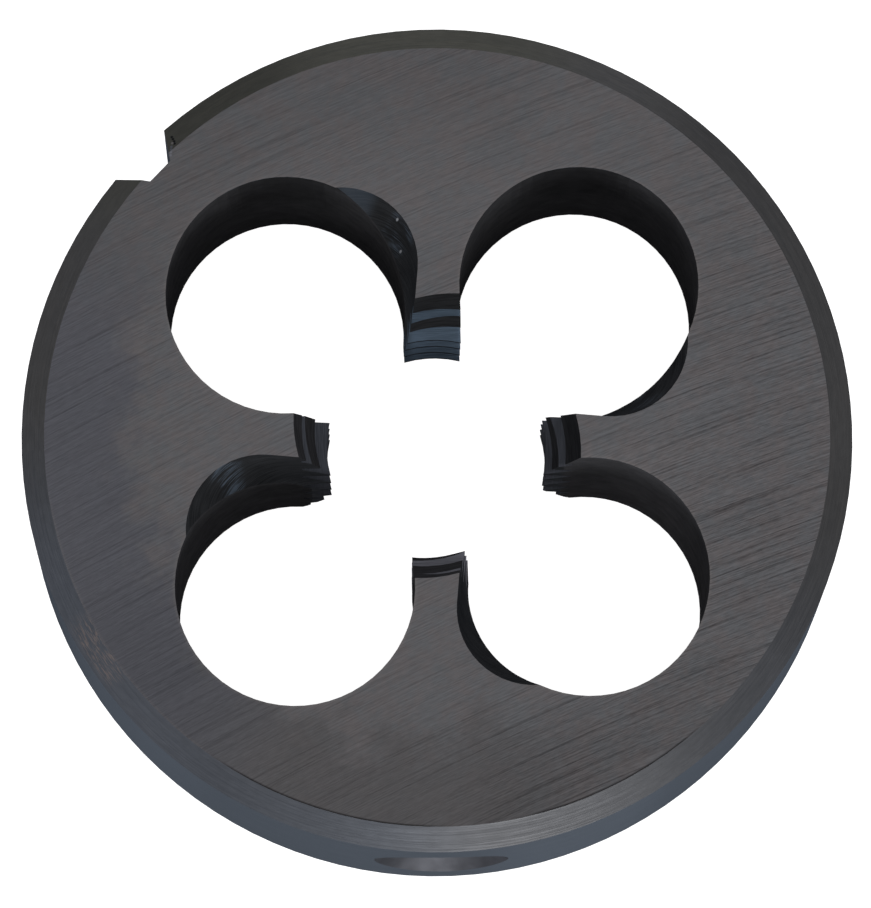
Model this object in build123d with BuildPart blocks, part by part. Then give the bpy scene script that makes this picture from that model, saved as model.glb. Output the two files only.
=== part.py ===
from build123d import *
import math
import os

os.makedirs("parts", exist_ok=True)

# Millimetres. Z=0 is the back face, +Z runs up to the lead face, and the bore runs along Z.
# Angles are about the bore, from +X towards +Y, with a land at 0, 90, 180 and 270 degrees.
die_od = 25.0
die_t = 9.0
rim_chamfer = 0.7

# M8 coarse thread, right-hand. The crests are narrower than the basic profile's quarter pitch, which
# makes the pitch diameter 7.45 instead of 7.19. The roots clear the major diameter.
thread_major_d = 8.0
thread_pitch = 1.25
thread_angle = 60.0
thread_crest_w = 0.16
thread_root_clearance = 0.15
thread_start_z = 0.15

# Leads. The lead face has the long one, relieved behind each cutting edge.
lead_mouth_d = 8.6
lead_depth = 2.5
lead_relief_offset = 0.5
back_lead_mouth_d = 8.4
back_lead_depth = 2.2

# Chip holes, one between each two lands.
land_count = 4
land_w = 1.7
chip_hole_d = 7.2
chip_hole_pcd = 12.5

# Ground gash ahead of each cutting edge. It leans in towards the bore as it goes down, so it fades
# out of the chip hole's far wall first.
gash_r = 2.3
gash_centre_r = 5.98
gash_from_land_angle = 26.8
gash_flank_angle = 6.8
gash_lean_angle = 20.8
gash_lean_from_land_angle = 166.0
gash_depth = 5.5

# Flat-bottomed V slot down the rim, outside one chip hole.
notch_angle = 134.1
notch_included_angle = 70.0
notch_depth = 0.92
notch_floor_w = 0.87

# Conical dimples at mid-height for the holder's screws, one each way round from the slot.
dimple_d = 4.4
dimple_included_angle = 90.0
dimple_from_notch_angle = 134.6

# Cutters run this far past the faces they open onto.
overcut = 0.5
# The thread cutter starts this far inside the bore, which keeps its turns clear of each other.
thread_cutter_inset = 0.15
# It runs this far to each side of a land's middle, so it ends in the chip holes.
thread_cutter_half_angle = 25.0

# Derived sizes.
die_r = die_od / 2
land_step = 360 / land_count
half_flank = math.radians(thread_angle / 2)
sharp_v_h = thread_pitch / (2 * math.tan(half_flank))
thread_minor_r = thread_major_d / 2 - 5 / 8 * sharp_v_h
thread_root_r = thread_major_d / 2 + thread_root_clearance
groove_mouth_r = thread_minor_r - thread_cutter_inset
groove_mouth = thread_pitch - thread_crest_w + 2 * thread_cutter_inset * math.tan(half_flank)
groove_root = groove_mouth - 2 * (thread_root_r - groove_mouth_r) * math.tan(half_flank)
groove_rise = thread_pitch * 2 * thread_cutter_half_angle / 360
groove_count = math.ceil(die_t / thread_pitch) + 2
chip_hole_centre_r = chip_hole_pcd / 2

# One groove of the thread, as long as it takes to cross a land lying along +X.
with BuildPart() as groove_cutter:
    with BuildLine() as groove_path:
        Helix(pitch=thread_pitch, height=groove_rise, radius=thread_root_r)
    with BuildSketch(Plane.XZ):
        with BuildLine():
            Polyline(
                (thread_root_r, groove_root / 2),
                (thread_root_r, -groove_root / 2),
                (groove_mouth_r, -groove_mouth / 2),
                (groove_mouth_r, groove_mouth / 2),
                close=True,
            )
        make_face()
    sweep(path=groove_path.line, is_frenet=True)
groove_middle = Location((0, 0, -groove_rise / 2), (0, 0, -thread_cutter_half_angle))
groove_spots = [
    Location(
        (0, 0, thread_start_z + thread_pitch * (turn + land / land_count)),
        (0, 0, land * land_step),
    )
    for land in range(land_count)
    for turn in range(-1, groove_count)
]

# The relieved lead over one land lying along +X. Its cone stands off towards the land's heel.
lead_foot_r = math.hypot(thread_minor_r, lead_relief_offset)
lead_slope = (lead_mouth_d / 2 - lead_foot_r) / lead_depth
with BuildPart() as lead_cutter:
    with Locations((0, -lead_relief_offset, die_t - lead_depth)):
        Cone(
            lead_foot_r,
            lead_mouth_d / 2 + lead_slope * overcut,
            lead_depth + overcut,
            align=(Align.CENTER, Align.CENTER, Align.MIN),
        )
    with Locations((0, 0, die_t - lead_depth)):
        Box(
            die_r,
            thread_major_d / 2,
            lead_depth + overcut,
            align=(Align.MIN, Align.CENTER, Align.MIN),
            mode=Mode.INTERSECT,
        )

# The throat between a chip hole lying along +X and the bore, with sides parallel to its two lands.
half_step = math.radians(land_step / 2)
throat_tip = land_w / 2 / math.sin(half_step)
throat_side = (chip_hole_centre_r - throat_tip) * math.cos(half_step)
throat_side_x = throat_side * math.cos(half_step)
throat_side_y = throat_side * math.sin(half_step)
with BuildPart() as throat_cutter:
    with BuildSketch():
        with BuildLine():
            Polyline(
                (throat_tip, 0),
                (throat_tip + throat_side_x, throat_side_y),
                (chip_hole_centre_r, 0),
                (throat_tip + throat_side_x, -throat_side_y),
                close=True,
            )
        make_face()
    extrude(amount=die_t)

# The gash for a land lying along +X: a round corner, then a flank that runs into the bore.
gash_x = gash_centre_r * math.cos(math.radians(gash_from_land_angle))
gash_y = gash_centre_r * math.sin(math.radians(gash_from_land_angle))
gash_lean = math.radians(gash_lean_angle)
gash_lean_way = math.radians(gash_lean_from_land_angle)
gash_axis = Vector(
    math.sin(gash_lean) * math.cos(gash_lean_way),
    math.sin(gash_lean) * math.sin(gash_lean_way),
    -math.cos(gash_lean),
)
with BuildPart() as gash_cutter:
    with BuildSketch(Plane.XY.offset(die_t)):
        with Locations(Location((gash_x, gash_y), -gash_flank_angle)):
            Circle(gash_r)
            Rectangle(gash_r, gash_r, align=(Align.MAX, Align.MAX))
    extrude(amount=gash_depth / math.cos(gash_lean), dir=gash_axis, both=True)

with BuildPart() as die_body:
    Cylinder(die_r, die_t, align=(Align.CENTER, Align.CENTER, Align.MIN))
    chamfer(die_body.edges().filter_by(GeomType.CIRCLE), rim_chamfer)
    Cylinder(
        thread_minor_r,
        die_t,
        align=(Align.CENTER, Align.CENTER, Align.MIN),
        mode=Mode.SUBTRACT,
    )
    with PolarLocations(chip_hole_centre_r, land_count, start_angle=land_step / 2):
        Cylinder(
            chip_hole_d / 2,
            die_t,
            align=(Align.CENTER, Align.CENTER, Align.MIN),
            mode=Mode.SUBTRACT,
        )
    with PolarLocations(0, land_count, start_angle=land_step / 2):
        add(throat_cutter.part, mode=Mode.SUBTRACT)
    with PolarLocations(0, land_count):
        add(gash_cutter.part, mode=Mode.SUBTRACT)
        add(lead_cutter.part, mode=Mode.SUBTRACT)
    back_slope = (back_lead_mouth_d / 2 - thread_minor_r) / back_lead_depth
    with Locations((0, 0, -overcut)):
        Cone(
            back_lead_mouth_d / 2 + back_slope * overcut,
            thread_minor_r,
            back_lead_depth + overcut,
            align=(Align.CENTER, Align.CENTER, Align.MIN),
            mode=Mode.SUBTRACT,
        )
    with Locations(*groove_spots):
        add(groove_cutter.part.moved(groove_middle), mode=Mode.SUBTRACT)

    notch_floor_r = die_r - notch_depth
    notch_spread = math.tan(math.radians(notch_included_angle / 2))
    notch_mouth = notch_floor_w + 2 * (notch_depth + overcut) * notch_spread
    with BuildSketch(Plane.XY.rotated((0, 0, notch_angle))):
        with BuildLine():
            Polyline(
                (notch_floor_r, notch_floor_w / 2),
                (notch_floor_r, -notch_floor_w / 2),
                (die_r + overcut, -notch_mouth / 2),
                (die_r + overcut, notch_mouth / 2),
                close=True,
            )
        make_face()
    extrude(amount=die_t, mode=Mode.SUBTRACT)

    dimple_depth = dimple_d / 2 / math.tan(math.radians(dimple_included_angle / 2))
    dimple_flare = overcut * math.tan(math.radians(dimple_included_angle / 2))
    for side in (1, -1):
        dimple_angle = math.radians(notch_angle + side * dimple_from_notch_angle)
        outward = Vector(math.cos(dimple_angle), math.sin(dimple_angle), 0)
        tip = outward * (die_r - dimple_depth) + Vector(0, 0, die_t / 2)
        with Locations(Plane(origin=tip, z_dir=outward)):
            Cone(
                0,
                dimple_d / 2 + dimple_flare,
                dimple_depth + overcut,
                align=(Align.CENTER, Align.CENTER, Align.MIN),
                mode=Mode.SUBTRACT,
            )

die_body.part.label = "die_body"
export_step(die_body.part, "parts/die_body.step")
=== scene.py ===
"""Dresses a round threading die in its ground, turned and blued finishes on a pale studio floor.

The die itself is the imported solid. Every length inside the die's own shaders is in millimetres,
and everything placed in the scene is in metres.
"""

import logging
import math
from dataclasses import dataclass, field
from enum import Enum

import bpy
from mathutils import Matrix, Vector


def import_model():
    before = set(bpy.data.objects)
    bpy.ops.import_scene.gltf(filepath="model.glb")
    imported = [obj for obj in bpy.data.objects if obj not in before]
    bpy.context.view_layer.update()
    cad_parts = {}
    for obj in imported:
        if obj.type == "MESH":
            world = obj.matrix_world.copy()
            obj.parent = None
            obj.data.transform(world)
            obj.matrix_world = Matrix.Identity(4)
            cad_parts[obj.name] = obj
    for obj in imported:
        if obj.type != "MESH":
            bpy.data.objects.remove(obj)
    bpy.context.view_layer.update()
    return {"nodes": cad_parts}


log = logging.getLogger("threading_die")

# A Place is an X and a Y on the die. A Range is two numbers that a change runs between. A Part is the
# start and end of a stretch round the die in degrees, and at times over how many degrees it fades.
# A Shaded stretch ends with how much lighter it is.
Colour = tuple[float, float, float]
Place = tuple[float, float]
Range = tuple[float, float]
Part = tuple[float, ...]
Shaded = tuple[float, float, float]
Socket = bpy.types.NodeSocket
Feed = Socket | float | tuple[float, ...]

MM_PER_M = 1000.0
SPOT_CORE = 0.4
CLOUD_MIDDLE = 0.5


class Maths(Enum):
    """The sums that the finishes are worked out with."""

    ADD = "ADD"
    SUBTRACT = "SUBTRACT"
    MULTIPLY = "MULTIPLY"
    DIVIDE = "DIVIDE"
    ABSOLUTE = "ABSOLUTE"
    LESS = "LESS_THAN"
    MORE = "GREATER_THAN"
    MOST = "MAXIMUM"
    ROUND = "ROUND"
    SINE = "SINE"
    COSINE = "COSINE"
    TURN = "ARCTAN2"


@dataclass(frozen=True)
class DieSizes:
    """The die's own sizes, in millimetres and degrees, as its solid has them."""

    outside_r: float = 12.5
    thickness: float = 9.0
    chamfer: float = 0.7
    chip_hole_r: float = 3.6
    chip_hole_centre_r: float = 6.25
    lead_mouth_r: float = 4.3
    land_count: int = 4
    gash_r: float = 2.3
    gash_centre_r: float = 5.98
    gash_from_land: float = 26.8
    gash_side: float = 0.5
    recess_floor_r: float = 10.2

    @property
    def face_r(self) -> float:
        """The radius at which the flat face ends and the chamfer starts."""
        return self.outside_r - self.chamfer

    @property
    def chip_hole_xy(self) -> float:
        """How far a chip hole's axis is from each of the die's centre planes."""
        return self.chip_hole_centre_r * math.cos(math.pi / self.land_count)

    @property
    def gash_centre(self) -> tuple[float, float]:
        """Where a gash's axis meets the lead face, along and across its land."""
        turn = math.radians(self.gash_from_land)
        return self.gash_centre_r * math.cos(turn), self.gash_centre_r * math.sin(turn)


@dataclass(frozen=True)
class Cloud:
    """A soft random cloud: clouds per unit, how many finer layers it has and how strong they are."""

    scale: float = 1.0
    detail: float = 2.0
    roughness: float = 0.5


class Wiring:
    """Adds nodes to one tree and joins them."""

    def __init__(self, tree: bpy.types.NodeTree) -> None:
        """Starts on a tree.

        Args:
            tree: The material's, world's or group's node tree.
        """
        self.tree = tree

    def add(self, kind: str, **settings: object) -> bpy.types.Node:
        """Adds one node.

        Args:
            kind: Blender's name for the node's type.
            **settings: Attributes to set on it.

        Returns:
            The new node.
        """
        node = self.tree.nodes.new(kind)
        for name, value in settings.items():
            setattr(node, name, value)
        return node

    def feed(self, socket: Socket, value: Feed) -> None:
        """Links a socket to an output, or sets its number or colour.

        Args:
            socket: The input to fill.
            value: An output socket, or a plain value.
        """
        if isinstance(value, Socket):
            self.tree.links.new(value, socket)
        else:
            socket.default_value = value

    def math(self, sum_: Maths, *values: Feed, clamp: bool = False) -> Socket:
        """One sum on numbers.

        Args:
            sum_: Which sum.
            *values: Its numbers, in order.
            clamp: Whether the result is kept within 0 and 1.

        Returns:
            The result.
        """
        node = self.add("ShaderNodeMath", operation=sum_.value, use_clamp=clamp)
        for socket, value in zip(node.inputs, values):
            self.feed(socket, value)
        return node.outputs["Value"]

    def total(self, *values: Feed) -> Socket:
        """The sum of several numbers.

        Args:
            *values: The numbers.

        Returns:
            Their sum.
        """
        result = values[0]
        for value in values[1:]:
            result = self.math(Maths.ADD, result, value)
        return result

    def product(self, *values: Feed) -> Socket:
        """The product of several numbers.

        Args:
            *values: The numbers.

        Returns:
            Their product.
        """
        result = values[0]
        for value in values[1:]:
            result = self.math(Maths.MULTIPLY, result, value)
        return result

    def inverse(self, mask: Feed) -> Socket:
        """One minus a mask."""
        return self.math(Maths.SUBTRACT, 1.0, mask, clamp=True)

    def span(
        self, value: Feed, low: float, high: float, start: float = 0.0, end: float = 1.0
    ) -> Socket:
        """Maps a number smoothly from one range to another and holds it at the ends.

        Args:
            value: The number.
            low: Where the first range starts.
            high: Where it ends.
            start: The result at low.
            end: The result at high.

        Returns:
            The mapped number.
        """
        node = self.add("ShaderNodeMapRange", interpolation_type="SMOOTHSTEP")
        for socket, part in zip(node.inputs, (value, low, high, start, end)):
            self.feed(socket, part)
        return node.outputs["Result"]

    def vector(self, operation: str, first: Feed, second: Feed = (0.0, 0.0, 0.0)) -> Socket:
        """One sum on vectors.

        Args:
            operation: Blender's name for the sum.
            first: The first vector.
            second: The second vector.

        Returns:
            The resulting vector, or the number where the sum gives one.
        """
        node = self.add("ShaderNodeVectorMath", operation=operation)
        self.feed(node.inputs[0], first)
        self.feed(node.inputs[1], second)
        gives_number = operation in {"LENGTH", "DOT_PRODUCT", "DISTANCE"}
        return node.outputs["Value" if gives_number else "Vector"]

    def join(self, x: Feed, y: Feed, z: Feed = 0.0) -> Socket:
        """Makes a vector from three numbers.

        Args:
            x: The first number.
            y: The second number.
            z: The third number.

        Returns:
            The vector.
        """
        node = self.add("ShaderNodeCombineXYZ")
        for socket, value in zip(node.inputs, (x, y, z)):
            self.feed(socket, value)
        return node.outputs["Vector"]

    def split(self, vector: Socket) -> tuple[Socket, Socket, Socket]:
        """Takes a vector apart.

        Args:
            vector: The vector.

        Returns:
            Its three numbers.
        """
        node = self.add("ShaderNodeSeparateXYZ")
        self.feed(node.inputs[0], vector)
        return node.outputs["X"], node.outputs["Y"], node.outputs["Z"]

    def noise(self, at: Socket, cloud: Cloud) -> Socket:
        """Soft random cloud over a position.

        Args:
            at: The position.
            cloud: How coarse and how rough it is.

        Returns:
            A number of about 0.5.
        """
        node = self.add("ShaderNodeTexNoise", noise_dimensions="3D")
        self.feed(node.inputs["Vector"], at)
        node.inputs["Scale"].default_value = cloud.scale
        node.inputs["Detail"].default_value = cloud.detail
        node.inputs["Roughness"].default_value = cloud.roughness
        return node.outputs["Fac"]

    def mix(self, share: Feed, base: Feed, over: Feed) -> Socket:
        """Lays one colour over another.

        Args:
            share: How much of the upper colour shows.
            base: The lower colour.
            over: The upper colour.

        Returns:
            The mixed colour.
        """
        node = self.add("ShaderNodeMix", data_type="RGBA", clamp_factor=True)
        colours = [s for s in node.inputs if s.type == "RGBA"]
        self.feed(node.inputs[0], share)
        for socket, value in zip(colours, (base, over)):
            self.feed(socket, (*value, 1.0) if isinstance(value, tuple) else value)
        return next(s for s in node.outputs if s.type == "RGBA")

    def blend(self, share: Feed, base: Feed, over: Feed) -> Socket:
        """Lays one number over another.

        Args:
            share: How much of the upper number shows.
            base: The lower number.
            over: The upper number.

        Returns:
            The mixed number.
        """
        node = self.add("ShaderNodeMix", data_type="FLOAT", clamp_factor=True)
        numbers = [s for s in node.inputs if s.type == "VALUE" and s.enabled]
        for socket, value in zip(numbers, (share, base, over)):
            self.feed(socket, value)
        return node.outputs[0]

    def tint(self, colour: Feed, strength: Feed) -> Socket:
        """Makes a colour lighter or darker.

        Args:
            colour: The colour.
            strength: What it is multiplied by.

        Returns:
            The colour times the strength.
        """
        node = self.add("ShaderNodeVectorMath", operation="SCALE")
        self.feed(node.inputs[0], colour)
        self.feed(node.inputs["Scale"], strength)
        return node.outputs["Vector"]

    def use(self, group: bpy.types.NodeTree, **inputs: Feed) -> bpy.types.Node:
        """Places a shared effect.

        Args:
            group: The effect's node group.
            **inputs: Its inputs by name, with an underscore for a space.

        Returns:
            The group's node.
        """
        node = self.add("ShaderNodeGroup", node_tree=group)
        for name, value in inputs.items():
            self.feed(node.inputs[name.replace("_", " ")], value)
        return node


class Effect:
    """A shared effect, kept as a node group with named inputs and outputs."""

    name = "effect"
    takes: tuple[tuple[str, float], ...] = ()
    gives: tuple[str, ...] = ()

    def __init__(self) -> None:
        """Makes the group and its sockets, and wires it."""
        self.group = bpy.data.node_groups.new(self.name, "ShaderNodeTree")
        for label, usual in self.takes:
            self.add_socket(label, "INPUT").default_value = usual
        for label in self.gives:
            self.add_socket(label, "OUTPUT")
        wiring = Wiring(self.group)
        inside = wiring.add("NodeGroupInput")
        outside = wiring.add("NodeGroupOutput")
        for label, result in self.wire(wiring, inside).items():
            wiring.feed(outside.inputs[label], result)

    def add_socket(self, label: str, side: str) -> bpy.types.NodeTreeInterfaceSocket:
        """Adds one named number to the group's inputs or outputs."""
        return self.group.interface.new_socket(label, in_out=side, socket_type="NodeSocketFloat")

    def wire(self, wiring: Wiring, inside: bpy.types.Node) -> dict[str, Socket]:
        """Builds the effect.

        Args:
            wiring: The group's wiring.
            inside: The node that holds the group's inputs.

        Returns:
            Each output by name.
        """
        raise NotImplementedError


class DiePlaces(Effect):
    """Where a point is on the die, in millimetres and radians."""

    name = "die_places"
    gives = (
        "X",
        "Y",
        "Height",
        "Radius",
        "Around",
        "From Hole Axis",
        "Along Land",
        "Across Land",
        "Tilt",
        "Facing Out",
        "Facing Front",
    )

    def __init__(self, sizes: DieSizes) -> None:
        """Keeps the die's sizes and builds the group.

        Args:
            sizes: The die's sizes.
        """
        self.sizes = sizes
        super().__init__()

    def wire(self, wiring: Wiring, inside: bpy.types.Node) -> dict[str, Socket]:
        """Works out every place from the die's own coordinates and its facets' normals.

        Args:
            wiring: The group's wiring.
            inside: The node that holds the group's inputs.

        Returns:
            Each output by name.
        """
        place = wiring.add("ShaderNodeTexCoord").outputs["Object"]
        x, y, height = wiring.split(wiring.vector("MULTIPLY", place, (MM_PER_M,) * 3))
        flat = wiring.join(x, y)
        radius = wiring.vector("LENGTH", flat)
        around = wiring.math(Maths.TURN, y, x)
        hole = (self.sizes.chip_hole_xy, self.sizes.chip_hole_xy, 0.0)
        from_hole = wiring.vector("DISTANCE", wiring.vector("ABSOLUTE", flat), hole)
        step = 2 * math.pi / self.sizes.land_count
        steps = wiring.math(Maths.ROUND, wiring.math(Maths.DIVIDE, around, step))
        nearest = wiring.product(steps, step)
        from_land = wiring.math(Maths.SUBTRACT, around, nearest)
        normal = wiring.add("ShaderNodeNewGeometry").outputs["True Normal"]
        _, _, normal_z = wiring.split(normal)
        outward = wiring.vector("NORMALIZE", flat)
        return {
            "X": x,
            "Y": y,
            "Height": height,
            "Radius": radius,
            "Around": around,
            "From Hole Axis": from_hole,
            "Along Land": wiring.product(radius, wiring.math(Maths.COSINE, from_land)),
            "Across Land": wiring.product(radius, wiring.math(Maths.SINE, from_land)),
            "Tilt": normal_z,
            "Facing Out": wiring.vector("DOT_PRODUCT", normal, outward),
            "Facing Front": wiring.vector("DOT_PRODUCT", normal, (0.0, -1.0, 0.0)),
        }


def stretched(wiring: Wiring, inside: bpy.types.Node) -> Socket:
    """A position that is stretched along a layer's marks.

    Args:
        wiring: The group's wiring.
        inside: The node that holds the group's inputs.

    Returns:
        The position, in lengths along and widths across.
    """
    source = inside.outputs
    return wiring.join(
        wiring.math(Maths.DIVIDE, source["Along"], source["Length"]),
        wiring.math(Maths.DIVIDE, source["Across"], source["Width"]),
        source["Seed"],
    )


class Streaks(Effect):
    """Long thin marks that a wheel or a cutter leaves, as a number from -1 to 1."""

    name = "streaks"
    takes = (
        ("Along", 0.0),
        ("Across", 0.0),
        ("Length", 5.0),
        ("Width", 0.1),
        ("Seed", 0.0),
    )
    gives = ("Value",)
    cloud = Cloud(detail=2.0, roughness=0.65)
    contrast: Range = (0.3, 0.7)

    def wire(self, wiring: Wiring, inside: bpy.types.Node) -> dict[str, Socket]:
        """Stretches a cloud along the marks and sharpens it.

        Args:
            wiring: The group's wiring.
            inside: The node that holds the group's inputs.

        Returns:
            Each output by name.
        """
        cloud = wiring.noise(stretched(wiring, inside), self.cloud)
        return {"Value": wiring.span(cloud, *self.contrast, -1.0, 1.0)}


class Scratches(Effect):
    """Sparse straight hair lines along one direction, as a mask."""

    name = "scratches"
    takes = (
        ("Along", 0.0),
        ("Across", 0.0),
        ("Length", 8.0),
        ("Width", 0.08),
        ("Seed", 0.0),
    )
    gives = ("Mask",)
    cloud = Cloud(detail=0.0)
    crests: Range = (0.62, 0.78)

    def wire(self, wiring: Wiring, inside: bpy.types.Node) -> dict[str, Socket]:
        """Keeps only the crests of a cloud that is stretched along the lines.

        Args:
            wiring: The group's wiring.
            inside: The node that holds the group's inputs.

        Returns:
            Each output by name.
        """
        cloud = wiring.noise(stretched(wiring, inside), self.cloud)
        return {"Mask": wiring.span(cloud, *self.crests)}


class ThinLine(Effect):
    """A thin line where a distance is nothing, as a mask."""

    name = "thin_line"
    takes = (
        ("Distance", 0.0),
        ("Width", 0.05),
    )
    gives = ("Mask",)
    fade: Range = (0.2, 1.0)

    def wire(self, wiring: Wiring, inside: bpy.types.Node) -> dict[str, Socket]:
        """Fades to both sides of the line.

        Args:
            wiring: The group's wiring.
            inside: The node that holds the group's inputs.

        Returns:
            Each output by name.
        """
        source = inside.outputs
        distance = wiring.math(Maths.ABSOLUTE, source["Distance"])
        share = wiring.math(Maths.DIVIDE, distance, source["Width"])
        return {"Mask": wiring.span(share, *self.fade, 1.0, 0.0)}


@dataclass(frozen=True)
class MarkLayer:
    """One layer of long thin marks, in millimetres, and the seed that picks it out of many."""

    length: float
    width: float
    seed: float


@dataclass(frozen=True)
class SurfaceSigns:
    """What tells one kind of surface from another.

    The reaches are in millimetres, chamfer_share is a share of the chamfer's height, and the rest are
    parts of a facet's normal.
    """

    flat: float = 0.98
    sloped: float = 0.5
    face_reach: float = 0.02
    chamfer_share: float = 1.02
    cone: Range = (0.45, 0.85)
    cone_reach: float = 3.0
    land_reach: float = 0.75
    facing_bore: float = -0.7
    facing_up: float = 0.5
    hole_reach: float = 0.02


@dataclass(frozen=True)
class Finish:
    """One finish of the die's steel."""

    colour: Colour
    roughness: float
    metal: float


@dataclass(frozen=True)
class GroundFace(Finish):
    """The flat faces, ground by a large wheel whose marks run in wide arcs."""

    colour: Colour = (0.103, 0.1062, 0.111)
    roughness: float = 0.5
    metal: float = 0.8
    warm: Colour = (0.1115, 0.105, 0.106)
    blued: Colour = (0.0815, 0.0845, 0.096)
    browned: Colour = (0.0815, 0.08, 0.081)
    # The colour of the painted highlight lines along the faces' edges.
    lit_edge: Colour = (0.15, 0.14, 0.135)
    wheel_x: float = 47.2
    wheel_y: float = -116.8
    fine: MarkLayer = MarkLayer(3.0, 0.045, 1.0)
    grit: MarkLayer = MarkLayer(0.35, 0.045, 7.0)
    short_scratch: MarkLayer = MarkLayer(5.0, 0.07, 13.0)
    long_scratch: MarkLayer = MarkLayer(9.0, 0.1, 17.0)
    fine_depth: float = 0.2
    grit_depth: float = 0.13
    scratch_depth: float = 0.24
    fine_rise: float = 0.3
    grit_rise: float = 0.25
    scratch_rise: float = -0.5
    fine_dull: float = 0.1
    coarse_lean: float = 0.4
    coarse_ramp: tuple[float, ...] = (2.0, 10.0, 0.6, 1.1)
    patch_cloud: Cloud = Cloud(0.45, 5.0, 0.65)
    patch_wander: float = 7.0
    patch_ring: Range = (8.3, 10.2)
    blue_part: Part = (154.0, 232.0, 26.0)
    blue_share: float = 0.9
    brown_part: Part = (216.0, 282.0, 40.0)
    brown_share: float = 0.8
    # Painted shade lines along two stretches of the outer edge, and painted highlight lines along one
    # stretch of it and along the hole edges.
    edge_shade_parts: tuple[Part, ...] = ((236.0, 267.0), (282.0, 308.0))
    edge_shade_width: float = 0.08
    edge_highlight_part: Part = (188.0, 232.0)
    edge_highlight_share: float = 0.18
    hole_highlight_share: float = 0.25
    edge_width: float = 0.1
    edge_depth: float = 0.7
    hue_cloud: Cloud = Cloud(1.3, 5.0, 0.75)
    hue_seed: float = 5.0
    hue_span: Range = (0.36, 0.64)
    inner_light: float = 0.05
    inner_ring: Range = (6.5, 9.5)
    dulled: tuple[Shaded, ...] = ((75.0, 155.0, -0.1), (276.0, 316.0, -0.1), (208.0, 228.0, -0.07))
    dulled_ring: Range = (8.4, 11.0)


@dataclass(frozen=True)
class TurnedChamfer(Finish):
    """The chamfers, turned smooth with faint rings, with painted highlight and painted shade in
    stretches round the die.
    """

    colour: Colour = (0.096, 0.0925, 0.089)
    roughness: float = 0.5
    metal: float = 0.85
    blued: Colour = (0.094, 0.1, 0.112)
    browned: Colour = (0.096, 0.093, 0.078)
    ring: MarkLayer = MarkLayer(4.0, 0.05, 21.0)
    grain: MarkLayer = MarkLayer(0.5, 0.16, 23.0)
    hatch: MarkLayer = MarkLayer(0.4, 0.035, 25.0)
    ring_depth: float = 0.022
    ring_dull: float = 0.08
    ring_rise: float = 0.25
    grain_depth: float = 0.06
    blue_part: Part = (186.0, 262.0, 30.0)
    bluish_part: Part = (262.0, 335.0, 30.0)
    bluish_share: float = 0.5
    brown_part: Part = (72.0, 140.0, 20.0)
    # Painted highlight and painted shade: stretches of the chamfer made lighter or darker for how the
    # light falls on them at each angle.
    tones: tuple[Shaded, ...] = (
        (54.0, 106.0, 0.36),
        (114.0, 133.0, -0.17),
        (192.0, 228.0, 0.2),
        (252.0, 292.0, -0.12),
        (330.0, 350.0, -0.12),
    )
    scuff: Colour = (0.21, 0.178, 0.168)
    scuff_part: Part = (206.5, 214.5, 5.0)
    scuff_hatch: Range = (0.0, 0.6)
    scuff_tilt: Range = (0.0, 0.1)
    scuff_ring: Range = (12.45, 12.3)


@dataclass(frozen=True)
class BluedRim(Finish):
    """The rim and its slot, smooth and blue-grey, with painted highlights in two stretches round the
    die.
    """

    colour: Colour = (0.08, 0.094, 0.113)
    roughness: float = 0.55
    metal: float = 0.3
    ring: MarkLayer = MarkLayer(3.0, 0.12, 33.0)
    ring_depth: float = 0.06
    ring_rise: float = 0.5
    # Painted highlights: two stretches of the rim made lighter where the light catches it.
    tones: tuple[Shaded, ...] = ((206.0, 230.0, 0.16), (280.0, 296.0, 0.15))


@dataclass(frozen=True)
class DrilledDimple(Finish):
    """The screw dimples in the rim, bright from the drill's point."""

    colour: Colour = (0.088, 0.09, 0.1)
    roughness: float = 0.55
    metal: float = 0.6
    mottle: Cloud = Cloud(1.6, 2.0)
    mottle_ramp: tuple[float, ...] = (0.3, 0.7, 0.85, 1.15)
    mottle_rise: float = 0.2


@dataclass(frozen=True)
class BlackWall(Finish):
    """The walls of the chip holes, drilled and black, with painted light that makes them greyer deep
    down, painted shade where they face the front and a painted highlight along the top edge.
    """

    colour: Colour = (0.034, 0.034, 0.036)
    roughness: float = 0.75
    metal: float = 0.04
    pits: Cloud = Cloud(1.4, 4.0, 0.7)
    pit_ramp: tuple[float, ...] = (0.25, 0.75, 0.8, 1.2)
    pit_rise: float = 0.3
    # Painted light and shade: the walls made lighter deep down and darker near the face, more so on
    # the near side, against how the light falls into the holes.
    near_to_far: Range = (-2.0, 2.0)
    deep_near: float = 1.9
    deep_far: float = 1.2
    deep_heights: Range = (8.5, 1.5)
    # Painted shade on walls that face the front, where the front lamp's light falls.
    front: float = 0.48
    front_facing: Range = (0.82, 1.0)
    front_heights: Range = (2.5, 6.5)
    beside_land: float = 1.5
    beside_front: Range = (-3.6, -1.8)
    beside_back: Range = (0.0, -0.6)
    beside_right: Range = (2.5, 4.0)
    # The colour of the painted highlight along the wall's top edge.
    top_edge_highlight: Colour = (0.055, 0.064, 0.078)
    lip_depth: float = 0.09
    lip_pits: Range = (0.35, 0.6)


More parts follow.
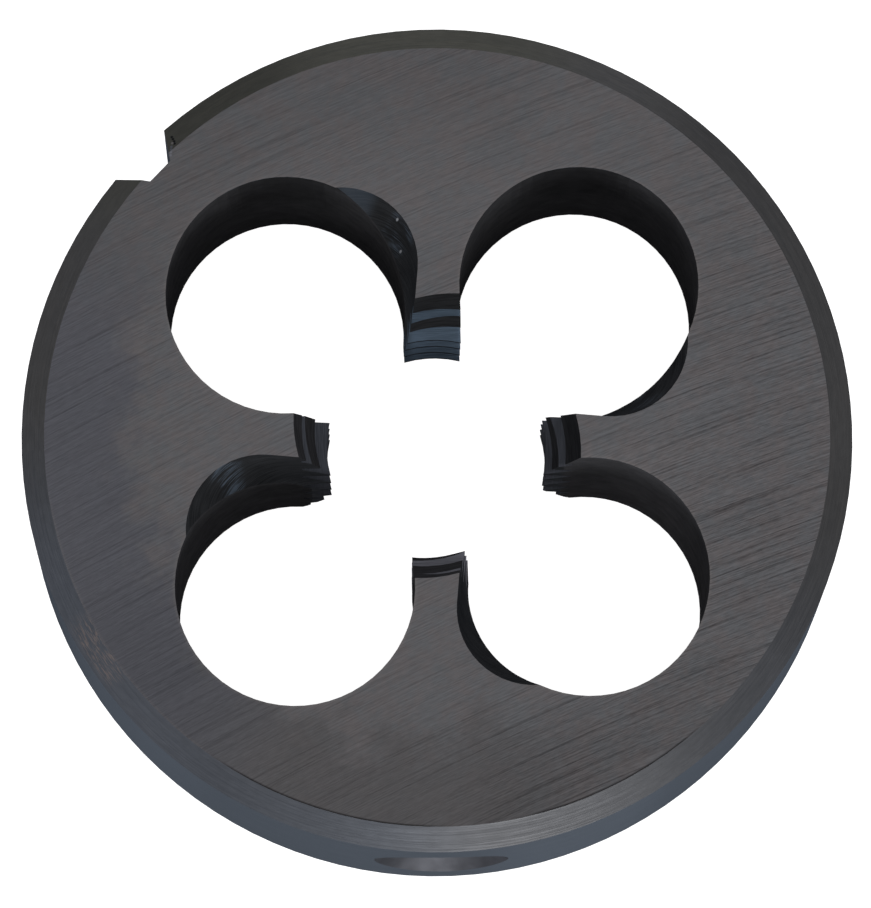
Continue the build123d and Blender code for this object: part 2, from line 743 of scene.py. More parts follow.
@dataclass(frozen=True)
class GashWall(Finish):
    """The gashes ahead of the cutting edges, black with wheel marks that follow their round corner,
    with painted highlights, and painted light deep down and near the land.
    """

    colour: Colour = (0.024, 0.025, 0.0265)
    roughness: float = 0.5
    metal: float = 0.2
    mark: MarkLayer = MarkLayer(1.5, 0.1, 41.0)
    mark_depth: float = 0.3
    mark_climb: float = 0.35
    mottle: Cloud = Cloud(0.9, 3.0)
    mottle_depth: float = 1.2
    # Painted light: the gash made lighter deep down, and more so near the land.
    deep: float = 1.6
    deep_land: float = 2.8
    land_across: Range = (1.1, 0.5)
    land_along: Range = (5.4, 4.8)
    deep_heights: Range = (7.5, 3.0)
    # The colour of the painted highlights in the round corner and where the far gash starts.
    painted_shine: Colour = (0.08, 0.102, 0.13)
    shine_turns: Range = (282.0, 316.0)
    shine_taper: float = 3.0
    shine_mottle: Range = (0.47, 0.62)
    shine_marks: Range = (-0.5, 0.6)
    shine_front: Range = (-6.0, -3.5)
    shine_right: tuple[float, ...] = (2.5, 4.5, 0.85, 0.2)
    shine_dull: float = -0.12
    start_middle: float = -14.0
    start_reach: float = 20.0
    start_heights: Range = (6.6, 8.4)
    start_back: Range = (3.0, 5.0)
    start_share: float = 0.34
    speck: Colour = (0.3, 0.31, 0.33)
    specks: tuple[Place, ...] = ((-0.97, 6.66), (-0.89, 5.89))
    speck_reach: float = 0.05


@dataclass(frozen=True)
class ThreadFlank(Finish):
    """The thread's flanks, cut clean and blued, with painted light and shade that differ from land to
    land.
    """

    colour: Colour = (0.052, 0.072, 0.096)
    roughness: float = 0.45
    metal: float = 0.5
    # Painted shade: the side lands' darker colour.
    shaded: Colour = (0.043, 0.0465, 0.054)
    # Painted light: the front land's lighter colour.
    painted_light: Colour = (0.127, 0.13, 0.147)
    painted_light_front: Range = (-1.5, -3.0)
    mark: MarkLayer = MarkLayer(0.9, 0.05, 57.0)
    mark_depth: float = 0.12
    side_span: Range = (-0.5, 0.5)
    left_to_right: Range = (-1.0, 1.0)
    # Painted light and shade: the side lands lighter on the left than on the right.
    right_tones: Range = (1.15, 0.92)
    # Painted shade where the flanks run out into a gash on the left, painted light there on the right.
    run_out: float = 0.7
    run_out_right: float = 1.4
    run_out_width: float = 0.3
    heel_edge: Range = (-0.7, -0.95)
    heel_right: float = 1.7
    first: float = 0.66
    first_heights: Range = (7.2, 6.6)


@dataclass(frozen=True)
class LeadFace(Finish):
    """The cone that the lands lead in with, and the thread's crests."""

    colour: Colour = (0.0185, 0.0192, 0.0206)
    roughness: float = 0.6
    metal: float = 0.1
    # Painted light: the lighter colour of the leads on the front lands.
    wear_and_painted_light: Colour = (0.026, 0.026, 0.0275)
    lead_light_front: Range = (-1.0, -3.5)
    mark: MarkLayer = MarkLayer(0.9, 0.1, 51.0)
    mark_depth: float = 0.25
    top: float = 0.76
    top_heights: Range = (7.9, 8.3)


@dataclass(frozen=True)
class HandlingNick:
    """A small dark nick with a bright side, on the edge beside the slot."""

    stroke: tuple[Place, ...] = ((-7.68, 9.4), (-7.645, 9.32), (-7.61, 9.24), (-7.6, 9.16))
    reach: float = 0.058
    bright_side: Place = (-7.67, 9.18)
    bright_scale: float = 0.9
    bright_share: float = 0.8
    # Grey spots of wear beside the nick.
    wear_and_painted_light: tuple[Place, ...] = ((-7.7, 9.06), (-7.71, 8.97), (-7.72, 8.88), (-7.73, 8.79))
    dark: Colour = (0.012, 0.012, 0.013)
    bright: Colour = (0.24, 0.22, 0.21)
    grey: Colour = (0.125, 0.13, 0.145)


@dataclass(frozen=True)
class Steel:
    """What one kind of surface gives the shader."""

    colour: Feed
    roughness: Feed
    height: Feed
    metal: float


@dataclass
class DieBody:
    """The die itself: one piece of hardened tool steel with a finish for each kind of cut."""

    node: bpy.types.Object
    sizes: DieSizes = field(default_factory=DieSizes)
    signs: SurfaceSigns = field(default_factory=SurfaceSigns)
    face: GroundFace = field(default_factory=GroundFace)
    chamfer: TurnedChamfer = field(default_factory=TurnedChamfer)
    rim: BluedRim = field(default_factory=BluedRim)
    dimple: DrilledDimple = field(default_factory=DrilledDimple)
    wall: BlackWall = field(default_factory=BlackWall)
    gash: GashWall = field(default_factory=GashWall)
    flank: ThreadFlank = field(default_factory=ThreadFlank)
    lead: LeadFace = field(default_factory=LeadFace)
    nick: HandlingNick = field(default_factory=HandlingNick)
    relief_strength: float = 0.25
    relief_depth: float = 0.02

    def dress(self) -> None:
        """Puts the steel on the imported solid."""
        material = bpy.data.materials.new("die_steel")
        material.use_nodes = True
        material.node_tree.nodes.clear()
        self.wiring = Wiring(material.node_tree)
        self.streaks = Streaks().group
        self.scratches = Scratches().group
        self.thin_line = ThinLine().group
        self.places = self.wiring.use(DiePlaces(self.sizes).group).outputs
        self.build_steel()
        self.node.data.materials.clear()
        self.node.data.materials.append(material)
        log.info("die_body dressed in %s", material.name)

    def areas(self) -> dict[str, Socket]:
        """Tells each kind of surface by its tilt and where it is.

        Returns:
            A mask for each kind.
        """
        wire, at, sizes, signs = self.wiring, self.places, self.sizes, self.signs
        half = sizes.thickness / 2
        steep = wire.math(Maths.ABSOLUTE, at["Tilt"])
        from_middle = wire.math(Maths.ABSOLUTE, self.off(at["Height"], half))
        at_face = wire.math(Maths.MORE, from_middle, half - signs.face_reach)
        face = wire.product(wire.math(Maths.MORE, steep, signs.flat), at_face)
        sloped = wire.product(wire.math(Maths.MORE, steep, signs.sloped), wire.inverse(face))
        outer = wire.math(Maths.MORE, at["Radius"], sizes.recess_floor_r)
        near_face = wire.math(Maths.MORE, from_middle, half - sizes.chamfer * signs.chamfer_share)
        chamfer = wire.product(sloped, outer, near_face)
        rim = wire.product(outer, wire.inverse(face), wire.inverse(chamfer))
        coned = wire.product(
            wire.math(Maths.MORE, at["Facing Out"], signs.cone[0]),
            wire.math(Maths.LESS, at["Facing Out"], signs.cone[1]),
            wire.math(Maths.LESS, at["Y"], signs.cone_reach),
        )
        inner = wire.math(Maths.LESS, at["Radius"], sizes.lead_mouth_r + signs.land_reach)
        flank = wire.product(sloped, inner)
        facing_in = wire.math(Maths.LESS, at["Facing Out"], signs.facing_bore)
        lead = wire.product(inner, facing_in, wire.inverse(flank), wire.inverse(face))
        off_hole = wire.math(Maths.MORE, at["From Hole Axis"], sizes.chip_hole_r + signs.hole_reach)
        not_cut = wire.inverse(wire.total(face, chamfer, rim, flank, lead))
        return {
            "gash": wire.product(not_cut, off_hole),
            "lead": lead,
            "flank": flank,
            "rim": rim,
            "dimple": wire.product(rim, coned),
            "chamfer": chamfer,
            "face": face,
        }

    def off(self, value: Feed, middle: float) -> Socket:
        """How far a number is above a middle one."""
        return self.wiring.math(Maths.SUBTRACT, value, middle)

    def layer(
        self, effect: bpy.types.NodeTree, along: Feed, across: Feed, layer: MarkLayer
    ) -> bpy.types.Node:
        """Places one layer of marks.

        Args:
            effect: The effect's node group.
            along: How far along the marks a point is, in millimetres.
            across: How far across them.
            layer: How long and wide the marks are, and their seed.

        Returns:
            The group's node.
        """
        return self.wiring.use(
            effect,
            Along=along,
            Across=across,
            Length=layer.length,
            Width=layer.width,
            Seed=layer.seed,
        )

    def marks(self, along: Feed, across: Feed, layer: MarkLayer) -> Socket:
        """One layer of marks, from -1 at the darkest to 1 at the lightest."""
        return self.layer(self.streaks, along, across, layer).outputs["Value"]

    def hair_lines(self, along: Feed, across: Feed, layer: MarkLayer) -> Socket:
        """One layer of sparse scratches, as a mask."""
        return self.layer(self.scratches, along, across, layer).outputs["Mask"]

    def line(self, distance: Feed, width: float) -> Socket:
        """A thin line where a distance is nothing, as a mask."""
        return self.wiring.use(self.thin_line, Distance=distance, Width=width).outputs["Mask"]

    def sector(self, start: float, end: float, fade: float = 8.0) -> Socket:
        """The part of the die between two angles about its bore, as a mask.

        Args:
            start: Where the part starts, in degrees from +X towards +Y.
            end: Where it ends.
            fade: Over how many degrees each end fades.

        Returns:
            The mask.
        """
        wire = self.wiring
        middle, half = math.radians((start + end) / 2), (end - start) / 2
        facing = wire.math(Maths.COSINE, self.off(self.places["Around"], middle))
        none = math.cos(math.radians(half + fade / 2))
        full = math.cos(math.radians(max(0.0, half - fade / 2)))
        return wire.span(facing, none, full)

    def spot(self, x: float, y: float, reach: float) -> Socket:
        """A small round mask about a place.

        Args:
            x: Its middle's X, in millimetres.
            y: Its middle's Y.
            reach: How far it reaches.

        Returns:
            The mask.
        """
        wire = self.wiring
        flat = wire.join(self.places["X"], self.places["Y"])
        distance = wire.vector("DISTANCE", flat, (x, y, 0.0))
        return wire.span(distance, reach, reach * SPOT_CORE)

    def spots(self, places: tuple[Place, ...], reach: float) -> Socket:
        """Several small round spots as one mask.

        Args:
            places: Where each one is, in millimetres.
            reach: How far each one reaches.

        Returns:
            Their mask.
        """
        mask: Feed = 0.0
        for x, y in places:
            mask = self.wiring.math(Maths.MOST, mask, self.spot(x, y, reach))
        return mask

    def shade(self, *parts: tuple[Socket, float]) -> Socket:
        """How light a colour is made by several layers of marks.

        Args:
            *parts: Each layer and its strength.

        Returns:
            The strength to multiply the colour by.
        """
        wire = self.wiring
        return wire.total(1.0, *(wire.product(layer, strength) for layer, strength in parts))

    def toned(self, tones: tuple[Shaded, ...], fade: float = 16.0) -> Socket:
        """How light a colour is made round the die.

        Args:
            tones: The start and end of each part in degrees, and how much lighter it is.
            fade: Over how many degrees each end fades.

        Returns:
            The strength to multiply the colour by.
        """
        return self.shade(*((self.sector(start, end, fade), more) for start, end, more in tones))

    def face_steel(self) -> Steel:
        """The ground faces, whose marks run in arcs round the wheel's axis.

        Returns:
            The faces' steel.
        """
        wire, at, face = self.wiring, self.places, self.face
        wheel = (face.wheel_x, face.wheel_y, 0.0)
        from_wheel = wire.vector("SUBTRACT", wire.join(at["X"], at["Y"]), wheel)
        wheel_dx, wheel_dy, _ = wire.split(from_wheel)
        across = wire.vector("LENGTH", from_wheel)
        along = wire.product(
            wire.math(Maths.TURN, wheel_dx, wheel_dy), math.hypot(face.wheel_x, face.wheel_y)
        )
        rightward = wire.math(Maths.SUBTRACT, at["X"], wire.product(at["Y"], face.coarse_lean))
        coarser = wire.span(rightward, *face.coarse_ramp)
        fine = wire.product(self.marks(along, across, face.fine), coarser)
        grit = wire.product(self.marks(along, across, face.grit), coarser)
        short = self.hair_lines(along, across, face.short_scratch)
        long = self.hair_lines(along, across, face.long_scratch)
        scratch = wire.product(wire.math(Maths.MOST, short, long), coarser)
        light = self.shade(
            (fine, face.fine_depth), (grit, face.grit_depth), (scratch, -face.scratch_depth)
        )
        return Steel(
            wire.tint(self.face_colour(), light),
            wire.total(face.roughness, wire.product(fine, face.fine_dull)),
            wire.total(
                wire.product(fine, face.fine_rise),
                wire.product(grit, face.grit_rise),
                wire.product(scratch, face.scratch_rise),
            ),
            face.metal,
        )

    def face_colour(self) -> Socket:
        """The faces' colour before their marks: blued on one side, browner near the rim below, with
        painted highlight lines along the hole edges and one stretch of the outer edge, and painted
        shade lines along two other stretches.

        Returns:
            The colour.
        """
        wire, at, face, sizes = self.wiring, self.places, self.face, self.sizes
        cloud = wire.noise(wire.join(at["X"], at["Y"]), face.patch_cloud)
        wander = wire.product(self.off(cloud, CLOUD_MIDDLE), face.patch_wander)
        outer = wire.span(wire.total(at["Radius"], wander), *face.patch_ring)
        blue = wire.product(outer, self.sector(*face.blue_part))
        brown = wire.product(outer, self.sector(*face.brown_part))
        from_edge = self.off(at["Radius"], sizes.face_r)
        # Painted shade and painted highlight lines along the outer edge, and painted highlight lines
        # along the hole edges.
        edge_parts = wire.total(*(self.sector(*part) for part in face.edge_shade_parts))
        edge_shade = wire.product(self.line(from_edge, face.edge_shade_width), edge_parts)
        highlight_part = self.sector(*face.edge_highlight_part)
        edge_highlight = wire.product(self.line(from_edge, face.edge_width), highlight_part)
        from_hole = self.off(at["From Hole Axis"], sizes.chip_hole_r)
        hole_edge_highlight = self.line(from_hole, face.edge_width)
        hue = wire.noise(wire.join(at["X"], at["Y"], face.hue_seed), face.hue_cloud)
        colour = wire.mix(wire.span(hue, *face.hue_span), face.colour, face.warm)
        colour = wire.mix(wire.product(brown, face.brown_share), colour, face.browned)
        colour = wire.mix(wire.product(blue, face.blue_share), colour, face.blued)
        colour = wire.mix(wire.product(hole_edge_highlight, face.hole_highlight_share), colour, face.lit_edge)
        colour = wire.mix(wire.product(edge_highlight, face.edge_highlight_share), colour, face.lit_edge)
        near_rim = wire.span(at["Radius"], *face.dulled_ring)
        dulled = wire.blend(near_rim, 1.0, self.toned(face.dulled))
        inner = wire.span(at["Radius"], *face.inner_ring, 1.0 + face.inner_light, 1.0)
        edge = self.shade((edge_shade, -face.edge_depth))
        return wire.tint(colour, wire.product(dulled, inner, edge))

    def chamfer_steel(self) -> Steel:
        """The chamfers, with a scuffed place on the lead side's, and painted highlight and painted
        shade round them.

        Returns:
            The chamfers' steel.
        """
        wire, at, chamfer = self.wiring, self.places, self.chamfer
        along = wire.product(at["Around"], self.sizes.outside_r)
        ring = self.marks(along, at["Radius"], chamfer.ring)
        grain = self.marks(along, at["Radius"], chamfer.grain)
        bluish = wire.product(self.sector(*chamfer.bluish_part), chamfer.bluish_share)
        blue = wire.total(self.sector(*chamfer.blue_part), bluish)
        scuffed = wire.product(
            wire.span(self.marks(along, at["Radius"], chamfer.hatch), *chamfer.scuff_hatch),
            self.sector(*chamfer.scuff_part),
            wire.span(at["Tilt"], *chamfer.scuff_tilt),
            wire.span(at["Radius"], *chamfer.scuff_ring),
        )
        colour = wire.mix(blue, chamfer.colour, chamfer.blued)
        colour = wire.mix(self.sector(*chamfer.brown_part), colour, chamfer.browned)
        marked = self.shade((ring, chamfer.ring_depth), (grain, chamfer.grain_depth))
        # The tones here are painted highlight and painted shade round the chamfer.
        colour = wire.tint(colour, wire.product(marked, self.toned(chamfer.tones)))
        return Steel(
            wire.mix(scuffed, colour, chamfer.scuff),
            wire.total(chamfer.roughness, wire.product(ring, chamfer.ring_dull)),
            wire.product(ring, chamfer.ring_rise),
            chamfer.metal,
        )

    def rim_steel(self) -> Steel:
        """The rim and its slot, with painted highlights in two stretches.

        Returns:
            The rim's steel.
        """
        wire, at, rim = self.wiring, self.places, self.rim
        along = wire.product(at["Around"], self.sizes.outside_r)
        ring = self.marks(along, at["Height"], rim.ring)
        # The tones here are painted highlights on the rim.
        light = wire.product(self.toned(rim.tones), self.shade((ring, rim.ring_depth)))
        return Steel(
            wire.tint(rim.colour, light), rim.roughness, wire.product(ring, rim.ring_rise), rim.metal
        )

    def cloud(self, cloud: Cloud) -> Socket:
        """Soft random cloud through the whole die."""
        place = self.wiring.join(self.places["X"], self.places["Y"], self.places["Height"])
        return self.wiring.noise(place, cloud)

    def dimple_steel(self) -> Steel:
        """The dimples' cones.

        Returns:
            The dimples' steel.
        """
        wire, dimple = self.wiring, self.dimple
        mottle = self.cloud(dimple.mottle)
        return Steel(
            wire.tint(dimple.colour, wire.span(mottle, *dimple.mottle_ramp)),
            dimple.roughness,
            wire.product(mottle, dimple.mottle_rise),
            dimple.metal,
        )

    def wall_steel(self) -> Steel:
        """The drilled walls, with a thin painted highlight along the top edge at the lead face,
        painted light deep down and painted shade where they face the front.

        Returns:
            The walls' steel.
        """
        wire, at, wall = self.wiring, self.places, self.wall
        pitted = self.cloud(wall.pits)
        below = wire.math(Maths.SUBTRACT, self.sizes.thickness, at["Height"])
        # Painted highlight along the top edge of the wall.
        top_edge_highlight = wire.product(wire.span(below, wall.lip_depth, 0.0), wire.span(pitted, *wall.lip_pits))
        # Painted shade where the wall faces the front.
        front = wire.product(
            wire.span(at["Facing Front"], *wall.front_facing),
            wire.span(at["Height"], *wall.front_heights),
            wire.span(at["Y"], *wall.near_to_far),
        )
        # Painted light: lighter deep down, darker near the face.
        deep = wire.span(at["Y"], *wall.near_to_far, wall.deep_near, wall.deep_far)
        beside_land = wire.product(
            wire.span(at["Y"], *wall.beside_front),
            wire.span(at["Y"], *wall.beside_back),
            wire.span(at["X"], *wall.beside_right),
        )
        light = wire.product(
            wire.span(pitted, *wall.pit_ramp),
            wire.blend(wire.span(at["Height"], *wall.deep_heights), 1.0, deep),
            wire.blend(front, 1.0, wall.front),
            wire.blend(beside_land, 1.0, wall.beside_land),
        )
        return Steel(
            wire.mix(top_edge_highlight, wire.tint(wall.colour, light), wall.top_edge_highlight),
            wall.roughness,
            wire.product(pitted, wall.pit_rise),
            wall.metal,
        )

    def gash_steel(self) -> Steel:
        """The gashes, whose wheel marks follow their round corner, with painted highlights and painted
        light deep down.

        Returns:
            The gashes' steel.
        """
        wire, at, gash, sizes = self.wiring, self.places, self.gash, self.sizes
        centre_along, centre_across = sizes.gash_centre
        turn = wire.math(
            Maths.TURN,
            self.off(at["Across Land"], centre_across),
            self.off(at["Along Land"], centre_along),
        )
        along = wire.product(turn, sizes.gash_r)
        climb = wire.total(at["Height"], wire.product(along, gash.mark_climb))
        mark = self.marks(along, climb, gash.mark)
        mottle = self.cloud(gash.mottle)
        # Painted highlight in the round corner.
        painted_light = self.painted_highlight_corner(turn, mottle, mark)
        # Painted light deep down, more so near the land.
        from_side = (sizes.gash_side + reach for reach in gash.land_across)
        near_land = wire.product(
            wire.span(at["Across Land"], *from_side),
            wire.span(at["Along Land"], *gash.land_along),
        )
        deep = wire.blend(near_land, gash.deep, gash.deep_land)
        light = wire.product(
            self.shade(
                (mark, gash.mark_depth), (self.off(mottle, CLOUD_MIDDLE), gash.mottle_depth)
            ),
            wire.blend(wire.span(at["Height"], *gash.deep_heights), 1.0, deep),
        )
        colour = wire.mix(painted_light, wire.tint(gash.colour, light), gash.painted_shine)
        # Painted highlight where the far gash starts.
        start = wire.product(self.start_highlight(turn), gash.start_share)
        colour = wire.mix(start, colour, gash.painted_shine)
        return Steel(
            wire.mix(self.spots(gash.specks, gash.speck_reach), colour, gash.speck),
            wire.total(gash.roughness, wire.product(painted_light, gash.shine_dull)),
            mark,
            gash.metal,
        )

    def painted_highlight_corner(self, turn: Socket, mottle: Socket, mark: Socket) -> Socket:
        """The painted highlight in a gash's round corner, broken up by its marks.

        Args:
            turn: Where a point is round the gash's axis, in radians.
            mottle: A soft cloud.
            mark: The gash's wheel marks.

        Returns:
            Its mask.
        """
        wire, at, gash = self.wiring, self.places, self.gash
        start, end = gash.shine_turns
        half = (end - start) / 2
        facing = wire.math(Maths.COSINE, self.off(turn, math.radians((start + end) / 2)))
        none, full = (math.cos(math.radians(away)) for away in (half, half / gash.shine_taper))
        return wire.product(
            wire.span(facing, none, full),
            wire.span(mottle, *gash.shine_mottle),
            wire.span(mark, *gash.shine_marks),
            wire.span(at["Y"], *gash.shine_front),
            wire.span(at["X"], *gash.shine_right),
        )

    def start_highlight(self, turn: Socket) -> Socket:
        """The painted highlight where the far gash starts beside its chip hole.

        Args:
            turn: Where a point is round the gash's axis, in radians.

        Returns:
            Its mask.
        """
        wire, at, gash = self.wiring, self.places, self.gash
        facing = wire.math(Maths.COSINE, self.off(turn, math.radians(gash.start_middle)))
        return wire.product(
            wire.span(facing, math.cos(math.radians(gash.start_reach)), 1.0),
            wire.span(at["Height"], *gash.start_heights),
            wire.span(at["Y"], *gash.start_back),
        )

    def flank_steel(self) -> Steel:
        """The thread's flanks, darker where they run out into a gash and on the first turn, with
        painted shade on the side lands and painted light on the front land.

        Returns:
            The flanks' steel.
        """
        wire, at, flank, sizes = self.wiring, self.places, self.flank, self.sizes
        mark = self.marks(at["Across Land"], at["Along Land"], flank.mark)
        sideways = wire.math(
            Maths.SUBTRACT, wire.math(Maths.ABSOLUTE, at["X"]), wire.math(Maths.ABSOLUTE, at["Y"])
        )
        side = wire.span(sideways, *flank.side_span)
        rightward = wire.span(at["X"], *flank.left_to_right)
        gash_edge = (sizes.gash_side, sizes.gash_side + flank.run_out_width)
        in_gash = wire.span(at["Across Land"], *gash_edge)
        past_heel = wire.span(at["Across Land"], *flank.heel_edge)
        first = wire.span(at["Height"], *flank.first_heights, flank.first, 1.0)
        # The run-out and side factors are painted shade and light.
        light = wire.product(
            self.shade((mark, flank.mark_depth)),
            wire.blend(in_gash, 1.0, wire.blend(rightward, flank.run_out, flank.run_out_right)),
            wire.blend(side, first, 1.0),
            wire.blend(side, 1.0, wire.span(at["X"], *flank.left_to_right, *flank.right_tones)),
            wire.blend(wire.product(past_heel, rightward), 1.0, flank.heel_right),
        )
        # Painted light on the front land and painted shade on the side lands.
        colour = wire.mix(wire.span(at["Y"], *flank.painted_light_front), flank.colour, flank.painted_light)
        colour = wire.mix(side, colour, flank.shaded)
        return Steel(wire.tint(colour, light), flank.roughness, mark, flank.metal)

    def lead_steel(self) -> Steel:
        """The lead cones and the thread's crests, with painted light on the front lands.

        Returns:
            The leads' steel.
        """
        wire, at, lead = self.wiring, self.places, self.lead
        mark = self.marks(at["Across Land"], at["Height"], lead.mark)
        # Painted light on the front lands' leads; on the other lands darker near the face.
        wear_and_painted_light = wire.span(wire.total(at["X"], at["Y"]), *lead.lead_light_front)
        top = wire.blend(wear_and_painted_light, wire.span(at["Height"], *lead.top_heights, 1.0, lead.top), 1.0)
        light = wire.product(top, self.shade((mark, lead.mark_depth)))
        colour = wire.tint(wire.mix(wear_and_painted_light, lead.colour, lead.wear_and_painted_light), light)
        return Steel(colour, lead.roughness, mark, lead.metal)

    def nicked(self, colour: Socket, on: Socket) -> Socket:
        """Adds the small nick beside the slot.

        Args:
            colour: The colour under it.
            on: Where it may be.

        Returns:
            The colour with the nick.
        """
        wire, nick = self.wiring, self.nick
        dark = self.spots(nick.stroke, nick.reach)
        bright = self.spot(*nick.bright_side, nick.reach * nick.bright_scale)
        colour = wire.mix(wire.product(self.spots(nick.wear_and_painted_light, nick.reach), on), colour, nick.grey)
        colour = wire.mix(wire.product(dark, on), colour, nick.dark)
        return wire.mix(wire.product(bright, on, nick.bright_share), colour, nick.bright)

    def build_steel(self) -> None:
        """Lays each finish over the black wall by its mask and wires the shader."""
        wire = self.wiring
        masks = self.areas()
        finishes = {
            "gash": self.gash_steel(),
            "lead": self.lead_steel(),
            "flank": self.flank_steel(),
            "rim": self.rim_steel(),
            "dimple": self.dimple_steel(),
            "chamfer": self.chamfer_steel(),
            "face": self.face_steel(),
        }
        base = self.wall_steel()
        colour, rough, height, metal = base.colour, base.roughness, base.height, base.metal
        for name, steel in finishes.items():
            mask = masks[name]
            colour = wire.mix(mask, colour, steel.colour)
            rough = wire.blend(mask, rough, steel.roughness)
            height = wire.blend(mask, height, steel.height)
            metal = wire.blend(mask, metal, steel.metal)
        facing_up = wire.math(Maths.MORE, self.places["Tilt"], self.signs.facing_up)
        colour = self.nicked(colour, facing_up)
        shader = wire.add("ShaderNodeBsdfPrincipled")
        shader.inputs["Specular IOR Level"].default_value = 0.0
        bump = wire.add("ShaderNodeBump")
        bump.inputs["Strength"].default_value = self.relief_strength
        bump.inputs["Distance"].default_value = self.relief_depth / MM_PER_M
        wire.feed(bump.inputs["Height"], height)
        wire.feed(shader.inputs["Base Color"], colour)
        wire.feed(shader.inputs["Roughness"], rough)
        wire.feed(shader.inputs["Metallic"], metal)
        wire.feed(shader.inputs["Normal"], bump.outputs["Normal"])
        output = wire.add("ShaderNodeOutputMaterial")
        wire.feed(output.inputs["Surface"], shader.outputs["BSDF"])


@dataclass
class StudioFloor:
    """The pale floor that the die lies on, seen only from above."""

    width: float = 3.0
    gap: float = 0.00002
    glow: float = 0.95
    paint: Colour = (0.6, 0.6, 0.6)
    roughness: float = 0.9

    def build(self) -> bpy.types.Object:
        """Makes the floor.

        Returns:
            The floor's object.
        """
        half = self.width / 2
        mesh = bpy.data.meshes.new("floor")
        corners = [(x * half, y * half, -self.gap) for x, y in ((-1, -1), (1, -1), (1, 1), (-1, 1))]
        mesh.from_pydata(corners, [], [(0, 1, 2, 3)])
        floor = bpy.data.objects.new("floor", mesh)
        bpy.context.scene.collection.objects.link(floor)
        mesh.materials.append(self.finish())
        floor.visible_glossy = False
        log.info("floor laid, %.1f m wide", self.width)
        return floor

    def finish(self) -> bpy.types.Material:
        """Pale paint that also glows a little, as a lit table does.

        Returns:
            The floor's material.
        """
        material = bpy.data.materials.new("pale_floor")
        material.use_nodes = True
        wire = Wiring(material.node_tree)
        shader = material.node_tree.nodes["Principled BSDF"]
        shader.inputs["Base Color"].default_value = (*self.paint, 1.0)
        shader.inputs["Roughness"].default_value = self.roughness
        shader.inputs["Specular IOR Level"].default_value = 0.0
        shader.inputs["Emission Color"].default_value = (1.0, 1.0, 1.0, 1.0)
        seen = wire.add("ShaderNodeLightPath").outputs["Is Camera Ray"]
        wire.feed(shader.inputs["Emission Strength"], wire.product(seen, self.glow))
        from_below = wire.add("ShaderNodeMixShader")
        wire.feed(from_below.inputs["Fac"], wire.add("ShaderNodeNewGeometry").outputs["Backfacing"])
        wire.feed(from_below.inputs[1], shader.outputs["BSDF"])
        wire.feed(from_below.inputs[2], wire.add("ShaderNodeBsdfTransparent").outputs["BSDF"])
        output = material.node_tree.nodes["Material Output"]
        wire.feed(output.inputs["Surface"], from_below.outputs["Shader"])
        return material


def direction(azimuth: float, elevation: float) -> Vector:
    """The way from the die to a lamp or the camera.

    Args:
        azimuth: Degrees from the front, -Y, towards +X.
        elevation: Degrees above the floor.

    Returns:
        A vector of length one.
    """
    turn, rise = math.radians(azimuth), math.radians(elevation)
    flat = math.cos(rise)
    return Vector((math.sin(turn) * flat, -math.cos(turn) * flat, math.sin(rise)))


@dataclass(frozen=True)
class Softbox:
    """One soft lamp, aimed at the die."""

    name: str
    azimuth: float
    elevation: float
    distance: float
    width: float
    watts: float
    colour: Colour = (1.0, 1.0, 1.0)

    def build(self) -> bpy.types.Object:
        """Makes the lamp.

        Returns:
            The lamp's object.
        """
        toward = direction(self.azimuth, self.elevation)
        lamp = bpy.data.lights.new(self.name, "AREA")
        lamp.shape = "DISK"
        lamp.size = self.width
        lamp.energy = self.watts
        lamp.color = self.colour
        held = bpy.data.objects.new(self.name, lamp)
        held.location = toward * self.distance
        held.rotation_mode = "QUATERNION"
        held.rotation_quaternion = toward.to_track_quat("Z", "Y")
        held.visible_camera = False
        bpy.context.scene.collection.objects.link(held)
        log.info("%s lit", self.name)
        return held


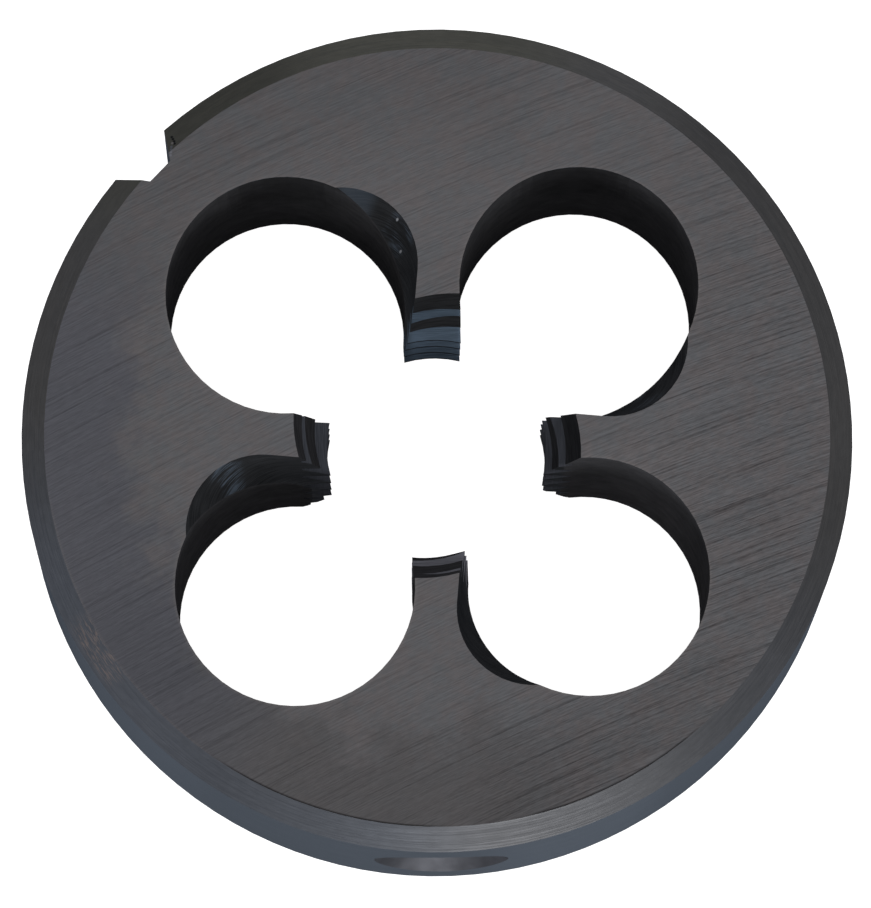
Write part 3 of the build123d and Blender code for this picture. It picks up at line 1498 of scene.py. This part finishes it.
@dataclass
class Studio:
    """The soft light round the die."""

    overhead: Colour = (0.95, 0.93, 0.95)
    horizon: Colour = (0.44, 0.475, 0.53)
    below: Colour = (0.1, 0.12, 0.15)
    overhead_rise: Range = (0.05, 0.75)
    below_rise: Range = (0.02, -0.2)
    lamps: tuple[Softbox, ...] = (
        Softbox("front_softbox", 9.0, 14.0, 1.2, 0.7, 7.5),
    )

    def build(self) -> None:
        """Lights the scene and sets the plain view."""
        world = bpy.data.worlds.new("studio")
        bpy.context.scene.world = world
        world.use_nodes = True
        wire = Wiring(world.node_tree)
        background = world.node_tree.nodes["Background"]
        toward = wire.add("ShaderNodeTexCoord").outputs["Generated"]
        _, _, rise = wire.split(toward)
        dome = wire.mix(wire.span(rise, *self.overhead_rise), self.horizon, self.overhead)
        dome = wire.mix(wire.span(rise, *self.below_rise), dome, self.below)
        wire.feed(background.inputs["Color"], dome)
        for lamp in self.lamps:
            lamp.build()
        view = bpy.context.scene.view_settings
        view.view_transform = "Standard"
        view.look = "None"
        log.info("studio lit")


@dataclass
class ViewCamera:
    """The camera, almost straight above the die and a little in front of it."""

    target: tuple[float, float, float] = (0.000039, 0.000674, 0.0)
    distance: float = 0.3081
    azimuth: float = -5.143
    elevation: float = 82.146
    roll: float = 3.159
    lens: float = 395.1
    sensor: float = 36.0
    nearest: float = 0.01
    farthest: float = 10.0

    def build(self) -> bpy.types.Object:
        """Makes the camera and looks through it.

        Returns:
            The camera's object.
        """
        back = direction(self.azimuth, self.elevation)
        lens = bpy.data.cameras.new("camera")
        lens.lens = self.lens
        lens.sensor_width = self.sensor
        lens.sensor_fit = "AUTO"
        lens.clip_start = self.nearest
        lens.clip_end = self.farthest
        camera = bpy.data.objects.new("camera", lens)
        aim = (-back).to_track_quat("-Z", "Y").to_matrix().to_4x4()
        tip = Matrix.Rotation(math.radians(self.roll), 4, "Z")
        place = Matrix.Translation(Vector(self.target) + back * self.distance)
        camera.matrix_world = place @ aim @ tip
        bpy.context.scene.collection.objects.link(camera)
        bpy.context.scene.camera = camera
        log.info("camera at %.1f mm", self.distance * MM_PER_M)
        return camera


def main() -> None:
    """Loads the die, dresses it, and sets the studio round it."""
    logging.basicConfig(level=logging.INFO, format="%(name)s: %(message)s")
    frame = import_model()
    DieBody(frame["nodes"]["die_body"]).dress()
    StudioFloor().build()
    Studio().build()
    ViewCamera().build()


if __name__ == "__main__":
    main()
